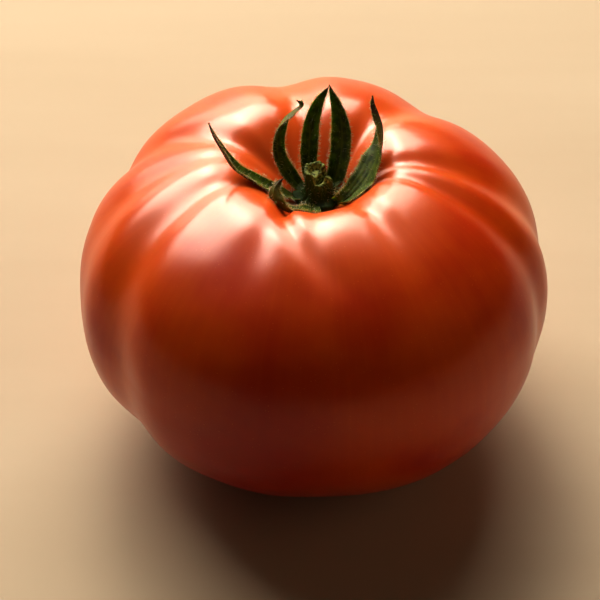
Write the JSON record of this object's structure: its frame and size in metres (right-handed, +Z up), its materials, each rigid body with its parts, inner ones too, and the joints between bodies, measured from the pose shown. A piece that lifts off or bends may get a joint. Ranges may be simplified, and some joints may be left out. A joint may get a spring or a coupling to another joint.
{
  "type": "tomato",
  "caption": "Ribbed red slicing tomato with its green star of curled sepals and a short stalk stub, resting on a small flat at its blossom end.",
  "frame": {"origin": "centre of the small flat at the blossom end that the fruit rests on", "axes": "+Z up along the stalk, +Y away from the shortest sepal, which curls at the front, +X to its right"},
  "size_m": [0.0867, 0.0884, 0.0707],
  "materials": {
    "fruit_skin": "taut glossy skin over flesh, deep red with orange about the stalk hollow",
    "stalk": "fine-haired green stalk, dry and paler at the snapped top",
    "sepal_leaf": "soft dark green leaf with fine hairs and dry brown tips"
  },
  "bodies": {
    "root": {"tomato_fruit": "fruit_skin", "stem_stub": "stalk", "sepal_left": "sepal_leaf", "sepal_back_left": "sepal_leaf", "sepal_back": "sepal_leaf", "sepal_back_right": "sepal_leaf", "sepal_right": "sepal_leaf", "sepal_front_left": "sepal_leaf"}
  },
  "joints": []
}
